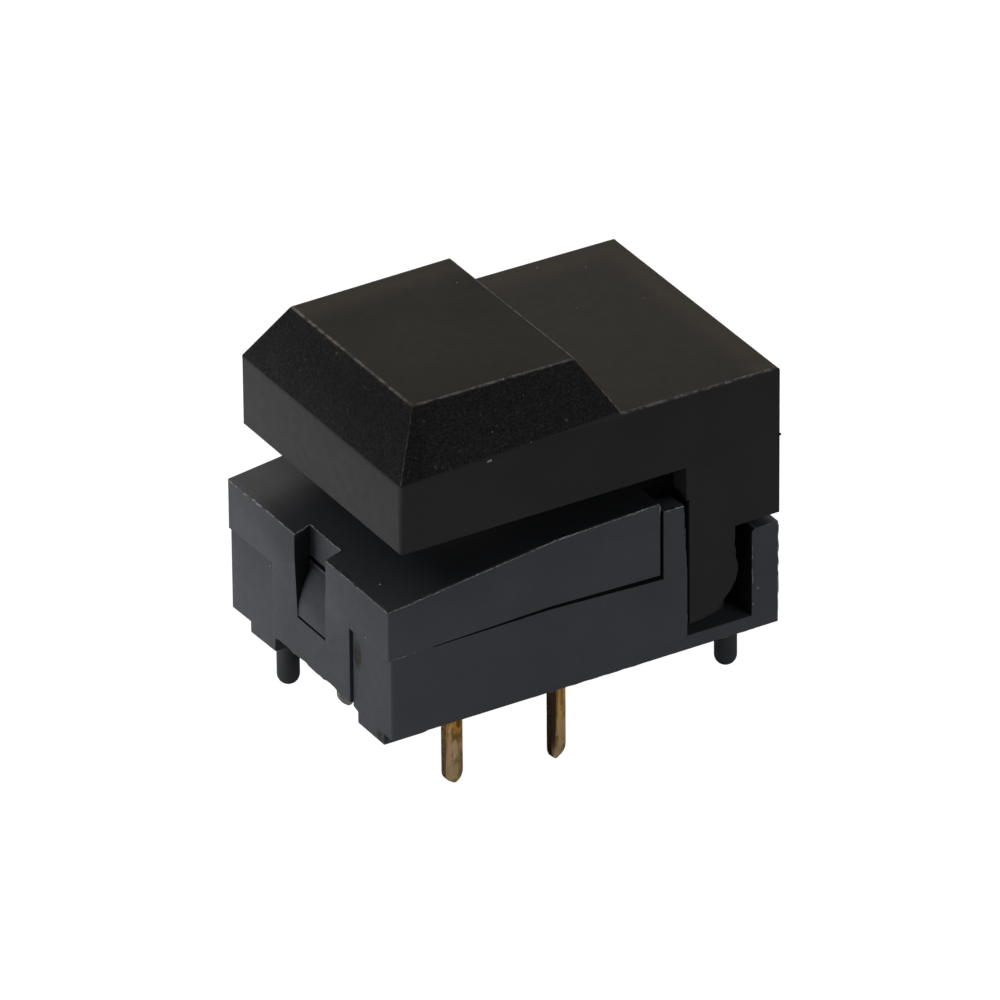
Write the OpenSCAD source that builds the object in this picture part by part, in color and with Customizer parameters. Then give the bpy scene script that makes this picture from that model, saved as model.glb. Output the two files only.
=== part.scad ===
// Hinged-cap tactile push button switch for a printed circuit board.
// Millimetres. +X runs from the free end of the cap to its hinge, +Z away from the board.
// The origin is midway between the two locating pegs, on the board's surface.

/* [Housing] */
// Length of the base along X
body_l = 18.13; // [18.0:0.01:18.3]
// Width of the base along Y
body_w = 12.46; // [12.4:0.01:12.5]
// Height of the feet that hold the base off the board
foot_h = 0.6; // [0.5:0.05:0.65]
// Height of the base's side wall where the cover lies on it
wall_top = 4.23; // [4.15:0.01:4.3]
// How far the side wall falls away under the cover's rear end
wall_fall = 0.15; // [0:0.01:0.2]
// Thickness of the side walls
wall_t = 0.9; // [0.8:0.05:1.0]
// Height of the posts in front of the cap's legs
post_top = 7.19; // [7.1:0.01:7.25]
// Height of the posts behind the cap's legs
rear_top = 5.11; // [4.9:0.01:5.15]

/* [Cover] */
// How far the cover stands proud of the base at its front
cover_proud = 0.125; // [0.05:0.025:0.15]
// Height of the cover's top at the front edge
cover_front = 6.48; // [6.45:0.01:6.6]
// Height of the cover's top at the bend
cover_bend = 7.44; // [7.4:0.01:7.5]
// Height of the cover's top at the rear edge
cover_rear = 7.64; // [7.6:0.01:7.7]
// Position of the bend along X
bend_x = -1.43; // [-1.8:0.01:-1.2]
// Width of the front snap flap
flap_w = 6.12; // [6.0:0.02:6.2]
// Width of the window that the catch shows through
window_w = 2.42; // [2.3:0.01:2.45]

/* [Cap] */
// Length of the cap along X
cap_l = 17.64; // [17.5:0.01:17.7]
// Width of the cap along Y
cap_w = 12.55; // [12.5:0.01:12.6]
// Height of the cap's lower edge above the board
cap_bottom = 8.90; // [8.84:0.02:9.0]
// Height of the wall's upper edge at the front
cap_front_top = 11.95; // [11.9:0.01:12.1]
// Height of the flat top where the raised pad ends
cap_flat_top = 12.34; // [12.3:0.01:12.4]
// Height of the raised pad
pad_top = 14.54; // [14.5:0.01:14.6]
// Radius of the cap's upright corners
corner_r = 0.2; // [0.1:0.05:0.4]

/* [Hinge] */
// Position of the hinge along X
pivot_x = 5.95; // [5.9:0.01:6.0]
// Height of the hinge above the board
pivot_z = 5.25; // [5.2:0.01:5.3]
// Radius of the trunnions on the cap's legs
trunnion_r = 0.75; // [0.7:0.01:0.76]
// Radial play of the trunnions in their bores
trunnion_play = 0.05; // [0.03:0.01:0.08]

/* [Board side] */
// Distance of the locating pegs from the middle along X
peg_x = 7.92; // [7.8:0.01:8.0]
// Distance of the locating pegs from the middle along Y
peg_y = 4.0; // [3.9:0.01:4.1]
// Radius of the locating pegs
peg_r = 0.475; // [0.45:0.005:0.48]
// Length of the locating pegs below the board's surface
peg_l = 2.3; // [2.2:0.05:2.6]
// Position of the front pins along X
pin_x1 = -4.83; // [-4.85:0.01:-4.7]
// Position of the rear pins along X
pin_x2 = 0.06; // [-0.05:0.01:0.08]
// Distance that the far row of pins stands further to the front
far_row = 0.5; // [0.3:0.05:0.6]
// Distance of each pin row from the middle along Y
pin_y = 3.72; // [3.68:0.01:3.8]
// Width of a pin
pin_w = 0.84; // [0.76:0.02:0.84]
// Thickness of a pin
pin_t = 0.3; // [0.25:0.01:0.32]
// Reach of the front pins below the board's surface
pin_l1 = 4.0; // [3.5:0.1:4.4]
// Reach of the rear pins below the board's surface
pin_l2 = 4.4; // [3.5:0.1:4.5]

/* [Contacts] */
// Position of the plunger along X
dome_x = -2.4; // [-2.45:0.01:-2.35]
// Radius of the snap dome
dome_r = 2.0; // [1.95:0.01:2.05]
// Height of the snap dome
dome_h = 0.38; // [0.3:0.02:0.4]
// Thickness of the snap dome
dome_t = 0.06; // [0.05:0.01:0.07]

/* [Hidden] */
$fn = 48;

e = 0.01;
hl = body_l / 2;
hw = body_w / 2;

// floor
floor_top = 1.75;
well_floor = 1.35;
notch_floor = 1.10;
notch_x0 = 4.735;
notch_x1 = 7.775;
notch_d = 1.06;
post_x0 = 3.61;

// cover
cf = -hl - cover_proud;
cr = 3.44;
cw = hw + 0.04;
cover_t = 0.8;
front_t = 0.7;
flap_y0 = -3.165;
flap_y1 = flap_y0 + flap_w;
window_y = -0.12;
channel_x = -8.36;
channel_wall_z = 5.41;
window_z = 2.69;

// cap
cap_x0 = -8.57;
cap_x1 = cap_x0 + cap_l;
ch = cap_w / 2;
cap_wall = 1.02;
pad_x0 = -7.08;
pad_x1 = 0.35;
pad_yf = 4.72;
kink_x = 1.68;
cap_rear_top = cap_flat_top - 0.07;
leg_x0 = 4.67;
leg_x1 = 6.95;
leg_t = 1.02;
leg_cx = 5.01;
leg_cz = 3.72;
leg_r = 2.09;
skirt_z = 5.55;
roof_z = 11.2;

// plunger
shaft = 3.8;
shaft_play = 0.05;
plunger_top = 8.45;
crown_r = 5;
flange_w = 5.6;
flange_z0 = 5.2;
flange_z1 = 6.0;
sleeve_r = 1.95;
sleeve_z = 3.4;
bore_r = 1.35;
bore_top = 7.2;

// pusher
pusher_z0 = 1.81;
pusher_z1 = 4.4;

// contact strips
strip_t = 0.25;
rim_z = well_floor - strip_t;
centre_z = 0.8;

grey = [0.30, 0.31, 0.34];
black = [0.09, 0.088, 0.085];
ivory = [0.86, 0.85, 0.80];
brass = [0.78, 0.62, 0.34];
steel = [0.72, 0.72, 0.73];

// a block given by its two corners
module block(a, b) translate(a) cube([b[0] - a[0], b[1] - a[1], b[2] - a[2]]);

// a profile drawn in X and Z, run along Y from y0 to y1
module along_y(pts, y0, y1)
  translate([0, y1, 0]) rotate([90, 0, 0]) linear_extrude(height = y1 - y0) polygon(pts);

// the same thing on both sides of the middle plane
module both_sides() { children(); mirror([0, 1, 0]) children(); }

// ---------------------------------------------------------------- contact strips

// a flat pin with a pointed end, its broad side along X
module pin(x, y, top, reach)
  along_y([[x - pin_w / 2, top], [x - pin_w / 2, -reach + 0.55], [x - 0.08, -reach],
           [x + 0.08, -reach], [x + pin_w / 2, -reach + 0.55], [x + pin_w / 2, top]],
          y - pin_t / 2, y + pin_t / 2);

module rim_strip_shape() {
  pin(pin_x1, -pin_y, rim_z + strip_t, pin_l1);
  pin(pin_x2, -pin_y, rim_z + strip_t, pin_l2);
  block([pin_x1 - pin_w / 2, -pin_y - pin_t / 2, rim_z], [pin_x2 + pin_w / 2, -3.2, rim_z + strip_t]);
  for (x = [dome_x - 1.85, dome_x + 1.85])
    block([x - 0.4, -3.21, rim_z], [x + 0.4, 0.5, rim_z + strip_t]);
}

module centre_strip_shape() {
  pin(pin_x1 - far_row, pin_y, centre_z + strip_t, pin_l1);
  pin(pin_x2 - far_row, pin_y, centre_z + strip_t, pin_l2);
  block([pin_x1 - far_row - pin_w / 2, 3.2, centre_z],
        [pin_x2 - far_row + pin_w / 2, pin_y + pin_t / 2, centre_z + strip_t]);
  block([dome_x - 0.4, 0, centre_z], [dome_x + 0.4, 3.21, centre_z + strip_t]);
  translate([dome_x, 0, centre_z]) cylinder(r = 0.5, h = well_floor - 0.05 - centre_z);
}

module rim_contact_strip() color(brass) rim_strip_shape();
module centre_contact_strip() color(brass) centre_strip_shape();

// ---------------------------------------------------------------- base

// the front near foot and its twin run out into a ramp, the other two end square
module long_foot()
  along_y([[-hl, foot_h + 0.1], [-hl, 0], [-7.3, 0], [-5.25, foot_h], [-5.25, foot_h + 0.1]], -5.6, -3.53);
module short_foot() block([-hl, 3.0, 0], [-8.3, 4.88, foot_h + 0.1]);

module peg(x, y) translate([x, y, 0]) {
  cylinder(r = peg_r + 0.17, h = foot_h + 0.1);
  translate([0, 0, -peg_l + peg_r]) cylinder(r = peg_r, h = peg_l - peg_r + e);
  translate([0, 0, -peg_l + peg_r]) sphere(r = peg_r);
}

// side wall, post and the low corner post behind the leg's notch
module base_side() {
  along_y([[-hl, foot_h], [-hl, wall_top], [-1.7, wall_top + 0.08], [post_x0, wall_top - wall_fall],
           [post_x0 + 0.1, foot_h]], hw - wall_t, hw);
  along_y([[-7.3, foot_h + 0.2], [-7.3, 5.2], [2.4, 5.2], [2.4, foot_h + 0.2]], 4.7, hw - wall_t + 0.02);
  along_y([[post_x0, foot_h], [post_x0, post_top], [4.585, post_top], [4.615, 6.05],
           [notch_x0, 4.0], [notch_x0, foot_h]], hw - notch_d, hw);
  along_y([[notch_x1, foot_h], [notch_x1, rear_top - 0.22], [notch_x1 + 0.18, rear_top],
           [hl, rear_top], [hl, foot_h]], hw - notch_d, hw);
  along_y([[4.4, foot_h], [4.4, 6.3], [4.7, 6.6], [6.85, 6.6], [7.1, 6.35], [7.1, foot_h]],
          4.15, hw - notch_d);
}

// catch behind the cover's window: flat below, leaning back above
module catch_nose()
  along_y([[-hl + 1.3, window_z + 0.06], [-hl, window_z + 0.06], [-hl + 0.05, window_z + 0.85],
           [-hl + 0.16, window_z + 1.26], [-hl + 0.45, window_z + 1.87],
           [-hl + 0.69, window_z + 2.21], [-hl + 1.0, window_z + 2.29], [-hl + 1.3, window_z + 2.29]],
          window_y - window_w / 2 + 0.07, window_y + window_w / 2 - 0.07);

module base_housing() color(grey) difference() {
  union() {
    // floor
    block([-hl, -hw, foot_h], [hl, hw, floor_top]);
    both_sides() base_side();
    // front wall on both sides of the flap, and the wall set back behind it
    block([-hl, -hw, foot_h], [-hl + 0.9, flap_y0 - 0.09, wall_top]);
    block([-hl, flap_y1 + 0.03, foot_h], [-hl + 0.9, hw, wall_top]);
    block([-hl + 0.65, flap_y0 - 0.6, foot_h], [-hl + 1.3, flap_y1 + 0.4, window_z + 2.29]);
    catch_nose();
    // bulkhead between the contact chamber and the hinge
    block([post_x0, -hw + 1, foot_h], [4.5, hw - 1, 5.4]);
    // rear wall
    block([8.2, -hw + 1, foot_h], [hl, hw - 1, rear_top]);
    // ring that keeps the return spring in place
    translate([dome_x, 0, floor_top - 0.2]) difference() {
      cylinder(r = 3.2, h = 0.65);
      translate([0, 0, -1]) cylinder(r = 2.72, h = 3);
    }
    // feet and locating pegs
    for (a = [0, 180]) rotate([0, 0, a]) {
      long_foot();
      short_foot();
    }
    peg(peg_x, -peg_y);
    peg(-peg_x, peg_y);
  }
  // notches for the cap's legs
  both_sides() block([notch_x0, hw - notch_d, notch_floor], [notch_x1, hw + 1, 9]);
  both_sides() block([7.1, 4.15, notch_floor], [notch_x1, hw, 9]);
  // seat of the front flap in the floor's edge
  block([-hl - 1, flap_y0 - e, -1], [-hl + 0.65, flap_y1 + 0.03, window_z + 0.055]);
  block([-hl - 1, flap_y0 - 0.09, foot_h + 0.7], [-hl + 0.65, flap_y1 + 0.03, window_z + 0.055]);
  // hinge bores
  translate([pivot_x, 10, pivot_z]) rotate([90, 0, 0]) cylinder(r = trunnion_r + trunnion_play, h = 20);
  // slots for the cover's rear tongues
  both_sides() block([post_x0 - 1, 1.95, 4.5], [4.25, 3.25, 5.1]);
  // well for the snap dome
  translate([dome_x, 0, well_floor]) cylinder(r = dome_r + 0.15, h = 2);
  // pockets of the moulded-in contact strips
  rim_strip_shape();
  centre_strip_shape();
}

// ---------------------------------------------------------------- cover

// upper face of the cover, moved down by d
function cover_line(d) = [[cf, cover_front - d], [bend_x, cover_bend - d], [cr, cover_rear - d]];

module top_cover() color(grey) difference() {
  union() {
    difference() {
      along_y(concat([[cf, wall_top]], cover_line(0),
                     [[cr, wall_top + 0.1], [-1.7, wall_top + 0.24], [-6.95, wall_top + 0.09]]), -cw, cw);
      intersection() {
        along_y(concat([[cf, 0]], cover_line(cover_t), [[cr, 0]]), -hw + 0.8, hw - 0.8);
        block([cf + front_t, -hw, 0], [cr - 0.8, hw, 9]);
      }
    }
    // front flap
    block([cf, flap_y0, foot_h + 0.2], [cf + front_t, flap_y1, wall_top + 0.3]);
    // wall behind the channel
    block([cf + front_t - 0.1, -1.8, channel_wall_z], [-7.8, 1.8, cover_front - 0.3]);
    // collar that guides the plunger
    block([dome_x - 2.6, -2.6, 6.03], [dome_x + 2.6, 2.6, 6.9]);
    // tongues that hook into the bulkhead
    both_sides() block([cr - 0.4, 2.0, 4.55], [4.2, 3.2, 5.05]);
  }
  // window and channel over the catch
  block([cf - 1, window_y - window_w / 2, window_z], [channel_x, window_y + window_w / 2, 9]);
  block([cf - 1, window_y - window_w / 2, window_z],
        [cf + front_t + e, window_y + window_w / 2, channel_wall_z]);
  // opening for the plunger
  block([dome_x - shaft / 2 - shaft_play, -shaft / 2 - shaft_play, 3],
        [dome_x + shaft / 2 + shaft_play, shaft / 2 + shaft_play, 9]);
}

// ---------------------------------------------------------------- cap

// plan of the cap with its rounded corners
module cap_plan() {
  translate([cap_x0 + corner_r, -ch]) square([cap_l - 2 * corner_r, cap_w]);
  translate([cap_x0, -ch + corner_r]) square([cap_l, cap_w - 2 * corner_r]);
  for (x = [cap_x0 + corner_r, cap_x1 - corner_r], y = [-ch + corner_r, ch - corner_r])
    translate([x, y]) circle(r = corner_r, $fn = 32);
}

// side view of the cap with its legs
module cap_side(y0, y1)
  along_y(concat([[cap_x0, cap_bottom], [cap_x0, cap_front_top], [pad_x0, pad_top], [pad_x1, pad_top],
                  [kink_x, cap_flat_top], [cap_x1, cap_rear_top], [cap_x1, skirt_z], [leg_x1, skirt_z],
                  [leg_cx + leg_r, leg_cz]],
                 [for (a = [-10:-10:-90]) [leg_cx + leg_r * cos(a), leg_cz + leg_r * sin(a)]],
                 [[leg_x0 + 0.13, leg_cz - leg_r + 0.05], [leg_x0 + 0.13, 7.4], [leg_x0, 7.4],
                  [leg_x0, cap_bottom]]), y0, y1);

// the slope beside the pad: its lower edge climbs from the front corner to the kink
slope_rise = (cap_flat_top - 0.01 - cap_front_top) / (kink_x - cap_x0);
slope_in = [pad_x0 - cap_x0, ch - pad_yf, pad_top - cap_front_top];

// a slab whose lower face is the slope plane, turned about the line along the slope's lower edge
module over_slope() {
  a = atan2(slope_rise, 1);
  // the inward direction in the frame whose first axis follows the lower edge
  up = -slope_in[0] * sin(a) + slope_in[2] * cos(a);
  b = atan2(up, slope_in[1]);
  translate([cap_x0, -ch, cap_front_top]) rotate([0, -a, 0]) rotate([b, 0, 0])
    translate([-6, -8, 0]) cube([kink_x - cap_x0 + 6.0, 20, 8]);
}

module button_cap() color(black) {
  difference() {
    intersection() {
      cap_side(-ch, ch);
      linear_extrude(height = 16) cap_plan();
    }
    both_sides() over_slope();
    // hollow under the cap, open below
    block([cap_x0 + cap_wall, -ch + leg_t, -1], [cap_x1 - cap_wall, ch - leg_t, roof_z]);
    block([-6.4, -4.1, roof_z - 1], [-0.1, 4.1, 13.4]);
  }
  // boss over the plunger
  translate([dome_x, 0, plunger_top + 0.02]) cylinder(r = 1.3, h = 13.5 - plunger_top);
  // ribs under the roof
  block([cap_x0 + cap_wall - 0.1, -0.45, 10.3], [cap_x1 - cap_wall + 0.1, 0.45, roof_z + 0.1]);
  for (x = [-6.4, 3.2]) block([x - 0.4, -ch + 0.9, 10.3], [x + 0.4, ch - 0.9, roof_z + 0.1]);
  // trunnions
  both_sides() translate([pivot_x, ch - leg_t + 0.05, pivot_z]) rotate([90, 0, 0])
    cylinder(r = trunnion_r, h = 0.87);
}

// ---------------------------------------------------------------- plunger, springs and dome

module plunger() color(ivory) difference() {
  union() {
    intersection() {
      block([dome_x - shaft / 2, -shaft / 2, flange_z0], [dome_x + shaft / 2, shaft / 2, plunger_top + 1]);
      translate([dome_x, 0, plunger_top - crown_r]) sphere(r = crown_r, $fn = 96);
    }
    block([dome_x - flange_w / 2, -flange_w / 2, flange_z0], [dome_x + flange_w / 2, flange_w / 2, flange_z1]);
    translate([dome_x, 0, sleeve_z]) cylinder(r = sleeve_r, h = flange_z0 - sleeve_z + 0.1);
  }
  translate([dome_x, 0, sleeve_z - 1]) cylinder(r = bore_r, h = bore_top - sleeve_z + 1);
}

module dome_pusher() color(ivory) translate([dome_x, 0, 0]) {
  translate([0, 0, pusher_z0]) cylinder(r = 0.6, h = 1);
  translate([0, 0, 2.62]) cylinder(r = bore_r - 0.05, h = pusher_z1 - 2.62);
  translate([0, 0, pusher_z1 - e]) cylinder(r = 0.6, h = 0.5);
}

module snap_dome() {
  sphere_r = (dome_r * dome_r + dome_h * dome_h) / (2 * dome_h);
  half = asin(dome_r / sphere_r);
  steps = 12;
  color(steel) translate([dome_x, 0, well_floor + dome_h - sphere_r]) rotate_extrude($fn = 64)
    polygon(concat([for (i = [0:steps]) let (a = half * i / steps) [sphere_r * sin(a), sphere_r * cos(a)]],
                   [for (i = [steps:-1:0]) let (a = half * i / steps)
                      [(sphere_r + dome_t) * sin(a), (sphere_r + dome_t) * cos(a)]]));
}

// height of the wire's middle after t turns of a coil with closed ends
function coil_z(t, turns, pitch, closed) =
  t < 1 ? closed * t : t < turns - 1 ? closed + pitch * (t - 1)
  : closed + pitch * (turns - 2) + closed * (t - turns + 1);

// coil spring standing between z0 and z1
module coil(mean_r, wire, turns, z0, z1, steps, sides) {
  closed = wire * 1.05;
  pitch = (z1 - z0 - wire - 2 * closed) / (turns - 2);
  n = floor(turns * steps);
  pts = [for (i = [0:n], k = [0:sides - 1])
    let (a = 360 * i / steps, q = 360 * k / sides, r = mean_r + wire / 2 * cos(q))
      [r * cos(a), r * sin(a), z0 + wire / 2 + coil_z(i / steps, turns, pitch, closed) + wire / 2 * sin(q)]];
  sides_f = [for (i = [0:n - 1], k = [0:sides - 1])
    let (a = i * sides + k, b = i * sides + (k + 1) % sides, c = a + sides, d = b + sides)
      each [[a, c, b], [b, c, d]]];
  first = [for (k = [0:sides - 1]) k];
  last = [for (k = [sides - 1:-1:0]) n * sides + k];
  polyhedron(points = pts, faces = concat(sides_f, [first, last]), convexity = 10);
}

module return_spring() color(steel) translate([dome_x, 0, 0])
  coil(2.38, 0.34, 5.5, floor_top + 0.01, flange_z0 - 0.01, 24, 8);

module pressure_spring() color(steel) translate([dome_x, 0, 0])
  coil(0.98, 0.22, 7, pusher_z1 + 0.01, bore_top - 0.01, 20, 6);

base_housing();
top_cover();
button_cap();
plunger();
return_spring();
pressure_spring();
dome_pusher();
snap_dome();
rim_contact_strip();
centre_contact_strip();
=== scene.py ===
import math
import random

import bmesh
import bpy
from mathutils import Matrix, Vector


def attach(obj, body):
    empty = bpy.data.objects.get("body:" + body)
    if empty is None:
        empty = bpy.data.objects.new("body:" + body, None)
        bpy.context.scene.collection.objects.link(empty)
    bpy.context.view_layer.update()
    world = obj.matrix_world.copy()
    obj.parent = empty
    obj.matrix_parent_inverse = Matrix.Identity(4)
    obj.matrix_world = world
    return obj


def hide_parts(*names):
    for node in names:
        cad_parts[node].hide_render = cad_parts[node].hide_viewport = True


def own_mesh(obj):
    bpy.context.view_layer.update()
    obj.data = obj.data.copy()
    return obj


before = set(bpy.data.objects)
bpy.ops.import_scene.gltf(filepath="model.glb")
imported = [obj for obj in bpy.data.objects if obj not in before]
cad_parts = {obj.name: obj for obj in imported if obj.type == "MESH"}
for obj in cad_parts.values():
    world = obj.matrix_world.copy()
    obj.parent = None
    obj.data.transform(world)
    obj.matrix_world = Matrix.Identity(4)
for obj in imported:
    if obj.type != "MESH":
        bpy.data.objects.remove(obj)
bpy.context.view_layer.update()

scene = bpy.context.scene
scene.view_settings.view_transform = "Standard"
scene.view_settings.look = "None"

# ------------------------------------------------------------------ camera
# Lengths in this script are millimetres until a mesh is scaled to metres at its end.


def make_camera():
    az, el, roll, dist = math.radians(30.773), math.radians(29.977), math.radians(-0.489), 520.0
    target = Vector((-0.147, 0.208, 5.725))
    back = Vector((-math.sin(az) * math.cos(el), -math.cos(az) * math.cos(el), math.sin(el)))
    right = (-back).cross(Vector((0, 0, 1))).normalized()
    up = right.cross(-back)
    r = right * math.cos(roll) + up * math.sin(roll)
    u = -right * math.sin(roll) + up * math.cos(roll)
    at = (target + back * dist) * 0.001
    data = bpy.data.cameras.new("camera")
    data.sensor_width = 36.0
    data.lens = 12933.733 * 36 / 1000
    data.clip_start, data.clip_end = 0.01, 10
    cam = bpy.data.objects.new("camera", data)
    scene.collection.objects.link(cam)
    cam.matrix_world = Matrix(((r.x, u.x, back.x, at.x), (r.y, u.y, back.y, at.y), (r.z, u.z, back.z, at.z), (0, 0, 0, 1)))
    scene.camera = cam


make_camera()

# ------------------------------------------------------------------ dimensions (mm), as in the CAD
HL, HW = 9.065, 6.23
FOOT, WT, WFALL, WALL = 0.6, 4.23, 0.15, 0.9
POST_TOP, REAR_TOP = 7.19, 5.11
NX0, NX1, NZ, ND, PX0 = 4.735, 7.775, 1.10, 1.06, 3.61
CF, CR, CW = -9.19, 3.44, 6.27
CZ0, CZ1, CZ2, BX = 6.48, 7.44, 7.64, -1.43
FLAP0, FLAP1 = -3.165, 2.955
WINZ, CHZ, CHX, WINY, WINW = 2.69, 5.41, -8.36, -0.12, 2.42
FLOOR, WELL = 1.75, 1.35
DX = -2.4
PIVX, PIVZ = 5.95, 5.25
CX0, CX1, CH = -8.57, 9.07, 6.275
CB = 8.90
PIN1, PIN2, PINY = -4.83, 0.06, 3.72
ROW = -0.5  # the far row of pins stands this much further to the front


# ------------------------------------------------------------------ mesh tools
def obj_from(bm, name="work"):
    me = bpy.data.meshes.new(name)
    bmesh.ops.recalc_face_normals(bm, faces=bm.faces)
    bm.to_mesh(me)
    bm.free()
    o = bpy.data.objects.new(name, me)
    scene.collection.objects.link(o)
    return o


def solid(points, faces):
    bm = bmesh.new()
    vs = [bm.verts.new(p) for p in points]
    for f in faces:
        bm.faces.new([vs[i] for i in f])
    return obj_from(bm)


def run(pts, place, h0, h1):
    """A closed prism over a flat outline; place(u, v, h) gives a point in space."""
    n = len(pts)
    points = [place(u, v, h0) for u, v in pts] + [place(u, v, h1) for u, v in pts]
    faces = [list(range(n - 1, -1, -1)), list(range(n, 2 * n))]
    faces += [[i, (i + 1) % n, n + (i + 1) % n, n + i] for i in range(n)]
    return solid(points, faces)


def along_y(pts, y0, y1):
    return run(pts, lambda u, v, h: (u, h, v), y0, y1)


def along_x(pts, x0, x1):
    return run(pts, lambda u, v, h: (h, u, v), x0, x1)


def along_z(pts, z0, z1):
    return run(pts, lambda u, v, h: (u, v, h), z0, z1)


def block(a, b):
    return along_z([(a[0], a[1]), (b[0], a[1]), (b[0], b[1]), (a[0], b[1])], a[2], b[2])


def round_z(x, y, r, z0, z1, n=48, r1=None):
    r1 = r if r1 is None else r1
    lo = [(x + r * math.cos(2 * math.pi * i / n), y + r * math.sin(2 * math.pi * i / n), z0) for i in range(n)]
    hi = [(x + r1 * math.cos(2 * math.pi * i / n), y + r1 * math.sin(2 * math.pi * i / n), z1) for i in range(n)]
    return solid(lo + hi, [list(range(n - 1, -1, -1)), list(range(n, 2 * n))] + [[i, (i + 1) % n, n + (i + 1) % n, n + i] for i in range(n)])


def round_y(x, z, r, y0, y1, n=48):
    return along_y([(x + r * math.cos(2 * math.pi * i / n), z + r * math.sin(2 * math.pi * i / n)) for i in range(n)], y0, y1)


def turned(x, y, prof, n=40):
    """A body of revolution about a line along Z; prof is (radius, z) from one end to the other."""
    points, faces, rings = [], [], []
    for r, z in prof:
        if r < 1e-6:
            rings.append([len(points)])
            points.append((x, y, z))
        else:
            rings.append(list(range(len(points), len(points) + n)))
            points += [(x + r * math.cos(2 * math.pi * i / n), y + r * math.sin(2 * math.pi * i / n), z) for i in range(n)]
    for a, b in zip(rings, rings[1:]):
        for i in range(n):
            j = (i + 1) % n
            if len(a) == 1:
                faces.append([a[0], b[i], b[j]])
            elif len(b) == 1:
                faces.append([a[i], a[j], b[0]])
            else:
                faces.append([a[i], a[j], b[j], b[i]])
    for ring in (rings[0], rings[-1]):
        if len(ring) > 1:
            faces.append(list(ring))
    return solid(points, faces)


def evaluated(o):
    dg = bpy.context.evaluated_depsgraph_get()
    me = bpy.data.meshes.new_from_object(o.evaluated_get(dg))
    old = o.data
    o.modifiers.clear()
    o.data = me
    bpy.data.meshes.remove(old)
    return o


def drop(o):
    me = o.data
    bpy.data.objects.remove(o)
    bpy.data.meshes.remove(me)


def boolean(a, b, how):
    m = a.modifiers.new("b", "BOOLEAN")
    m.operation, m.object, m.solver = how, b, "EXACT"
    evaluated(a)
    drop(b)
    return a


def add(a, *bs):
    for b in bs:
        boolean(a, b, "UNION")
    return a


def cut(a, *bs):
    for b in bs:
        boolean(a, b, "DIFFERENCE")
    return a


def mirrored(make):
    """make() gives a solid on the near side, and a copy of it turned over to the other side."""
    a = make()
    b = make()
    b.data.transform(Matrix.Scale(-1, 4, Vector((0, 1, 0))))
    b.data.flip_normals()
    return a, b


def clean(o, angle=0.3):
    bm = bmesh.new()
    bm.from_mesh(o.data)
    bmesh.ops.remove_doubles(bm, verts=bm.verts, dist=2e-4)
    bmesh.ops.dissolve_degenerate(bm, edges=bm.edges, dist=1e-4)
    bmesh.ops.dissolve_limit(bm, angle_limit=math.radians(angle), verts=bm.verts, edges=bm.edges)
    bmesh.ops.recalc_face_normals(bm, faces=bm.faces)
    bm.to_mesh(o.data)
    bm.free()
    return o


def round_edges(o, width, segments, weigh, min_len=0.1):
    """Rounds the outward edges: weigh(middle, direction, normal_a, normal_b) gives each one's share of width."""
    bm = bmesh.new()
    bm.from_mesh(o.data)
    layer = bm.edges.layers.float.new("bevel_weight_edge")
    for e in bm.edges:
        if len(e.link_faces) != 2:
            continue
        angle = e.calc_face_angle_signed()
        if angle < math.radians(24) or e.calc_length() < min_len:
            continue
        a, b = e.verts[0].co, e.verts[1].co
        e[layer] = weigh((a + b) / 2, (b - a).normalized(), e.link_faces[0].normal, e.link_faces[1].normal)
    bm.to_mesh(o.data)
    bm.free()
    m = o.modifiers.new("r", "BEVEL")
    m.width, m.segments, m.limit_method, m.offset_type = width, segments, "WEIGHT", "OFFSET"
    m.use_clamp_overlap = False
    m.material = 1
    m.miter_outer = "MITER_SHARP"
    for name in ("face", "edge"):
        o.data.materials.append(None)
    evaluated(o)
    return o


def shade(o, smooth_small=26):
    """Flat faces stay flat, rounded edges and turned surfaces are smooth."""
    bm = bmesh.new()
    bm.from_mesh(o.data)
    for f in bm.faces:
        if f.material_index == 1:
            f.smooth = True
            continue
        soft = 0
        for e in f.edges:
            if len(e.link_faces) == 2:
                a = e.calc_face_angle(0)
                if math.radians(0.5) < a < math.radians(smooth_small):
                    soft += 1
        f.smooth = soft >= 2
    for e in bm.edges:
        e.smooth = not (len(e.link_faces) == 2 and e.calc_face_angle(0) > math.radians(38))
    bm.to_mesh(o.data)
    bm.free()
    return o


def join(o, other):
    """Puts another mesh into o, keeping its material numbers."""
    bm = bmesh.new()
    bm.from_mesh(o.data)
    bm.from_mesh(other.data)
    bm.to_mesh(o.data)
    bm.free()
    drop(other)
    return o


def piece(o, name, body, nodes, mats):
    # clearing the slots resets every face to the first one, so their numbers are put back
    numbers = [p.material_index for p in o.data.polygons]
    o.data.materials.clear()
    for m in mats:
        o.data.materials.append(m)
    o.data.polygons.foreach_set("material_index", numbers)
    o.data.update()
    o.data.transform(Matrix.Scale(0.001, 4))
    o.name = name
    o.data.name = name
    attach(o, body)
    if nodes:
        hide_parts(*nodes)
    return o


def settle(o, base=False):
    """Small deviations of the mouldings, as the photo shows them: the far front corner stands a little further out, and the base's underside a little lower."""
    for v in o.data.vertices:
        x, y, z = v.co
        if x < -8.6:
            v.co.x -= (0.12 if base else 0.075) * min(1.0, max(0.0, (y - 2.9) / 3.3))
        if y > HW - 0.12:
            v.co.y += 0.07
        if base and 0.5 < z < 0.67 and not (x < -7.9 and -3.45 < y < 3.05):
            v.co.z -= 0.10 + 0.05 * min(1.0, max(0.0, (x + 6) / 6))


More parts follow.
